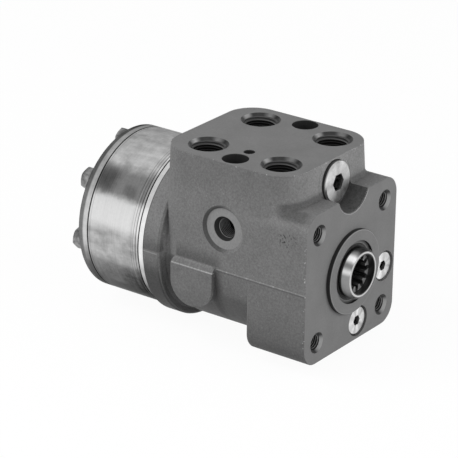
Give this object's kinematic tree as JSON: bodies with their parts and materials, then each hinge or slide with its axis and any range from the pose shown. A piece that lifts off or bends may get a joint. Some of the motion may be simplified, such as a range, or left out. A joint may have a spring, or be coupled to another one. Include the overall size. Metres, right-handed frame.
{
  "type": "orbital steering unit",
  "caption": "Cast valve housing with a square column flange, splined socket and threaded top ports, closed at the back by a bolted gear set that meters oil as the column turns.",
  "frame": {"origin": "centre of the column mounting face, on the steering axis", "axes": "-Y out of the mounting face towards the column, +Y back through the gear set, +Z out of the port face, +X to the right when facing the mounting face"},
  "size_m": [0.106, 0.1865, 0.125],
  "materials": {
    "cast_body": "fine grained grey casting with machined faces",
    "gear_ring_steel": "dark mottled case with bright turned bands",
    "bright_steel": "fine turned steel",
    "ground_steel": "ground and hardened steel",
    "zinc_steel": "zinc plated fasteners",
    "spring_steel": "spring steel wire and leaf",
    "seal_rubber": "black nitrile rubber",
    "cage_brass": "pressed cage",
    "soft_washer": "soft sealing washer"
  },
  "bodies": {
    "housing_body": {"housing": "cast_body", "dust_seal": "seal_rubber", "seal_spacer": "ground_steel", "shaft_seal": "seal_rubber", "bearing_front_race": "ground_steel", "front_plugs": "bright_steel", "front_plug_seals": "soft_washer", "relief_plug": "bright_steel", "relief_plug_seal": "soft_washer", "relief_adjuster": "ground_steel", "relief_spring": "spring_steel", "relief_seat": "ground_steel", "shock_plugs": "zinc_steel", "shock_spring_left": "spring_steel", "shock_spring_right": "spring_steel", "check_bush": "ground_steel", "o_ring_housing": "seal_rubber", "distributor_plate": "bright_steel", "o_ring_plate": "seal_rubber", "gear_ring": "gear_ring_steel", "o_ring_cover": "seal_rubber", "end_cover": "bright_steel", "cover_washers": "zinc_steel", "cover_bolts": "zinc_steel"},
    "sleeve_body": {"control_sleeve": "ground_steel", "cross_pin": "ground_steel", "pin_ring": "spring_steel", "spring_ring": "spring_steel", "centring_springs": "spring_steel", "bearing_rear_race": "ground_steel"},
    "spool_body": {"control_spool": "ground_steel"},
    "bearing_body": {"bearing_cage": "cage_brass", "bearing_needles": "ground_steel"},
    "orbit_body": {"cardan_spacer": "ground_steel"},
    "wheel_body": {"gear_wheel": "ground_steel"},
    "cardan_body": {"cardan_shaft": "ground_steel"},
    "poppet_body": {"relief_poppet": "ground_steel"},
    "shock_left_body": {"shock_ball_left": "ground_steel"},
    "shock_right_body": {"shock_ball_right": "ground_steel"},
    "check_body": {"check_ball": "ground_steel"}
  },
  "joints": [
    {"name": "sleeve_turn", "type": "hinge", "parent": "housing_body", "child": "sleeve_body", "pos_m": [0, 0.066, 0], "axis": [0, 1, 0], "continuous": true},
    {"name": "spool_deflect", "type": "hinge", "parent": "sleeve_body", "child": "spool_body", "pos_m": [0, 0.027, 0], "axis": [0, 1, 0], "range_deg": [-8, 8], "stiffness_Nm_per_rad": 6, "deforming": ["centring_springs"]},
    {"name": "wheel_orbit", "type": "hinge", "parent": "housing_body", "child": "orbit_body", "pos_m": [0, 0.142, 0], "axis": [0, 1, 0], "continuous": true},
    {"name": "wheel_spin", "type": "hinge", "parent": "orbit_body", "child": "wheel_body", "pos_m": [0, 0.142, 0.0033], "axis": [0, 1, 0], "continuous": true},
    {"name": "cardan_spin", "type": "hinge", "parent": "orbit_body", "child": "cardan_body", "pos_m": [0, 0.042, 0], "axis": [0, 0.9993, 0.0366], "continuous": true},
    {"name": "bearing_roll", "type": "hinge", "parent": "housing_body", "child": "bearing_body", "pos_m": [0, 0.0164, 0], "axis": [0, 1, 0], "continuous": true},
    {"name": "relief_lift", "type": "slide", "parent": "housing_body", "child": "poppet_body", "axis": [0, -1, 0], "range_m": [0, 0.0012], "stiffness_N_per_m": 400, "springref_m": -0.004, "deforming": ["relief_spring"]},
    {"name": "shock_lift_left", "type": "slide", "parent": "housing_body", "child": "shock_left_body", "axis": [0, 0, 1], "range_m": [0, 0.0012], "stiffness_N_per_m": 300, "springref_m": -0.002, "deforming": ["shock_spring_left"]},
    {"name": "shock_lift_right", "type": "slide", "parent": "housing_body", "child": "shock_right_body", "axis": [0, 0, 1], "range_m": [0, 0.0012], "stiffness_N_per_m": 300, "springref_m": -0.002, "deforming": ["shock_spring_right"]},
    {"name": "check_lift", "type": "slide", "parent": "housing_body", "child": "check_body", "axis": [0, 0, 1], "range_m": [0, 0.002]}
  ],
  "couplings": [
    {"joint": "wheel_orbit", "follows": "sleeve_turn", "ratio": -6},
    {"joint": "wheel_spin", "follows": "sleeve_turn", "ratio": 7},
    {"joint": "cardan_spin", "follows": "sleeve_turn", "ratio": 7},
    {"joint": "bearing_roll", "follows": "sleeve_turn", "ratio": 0.5}
  ]
}
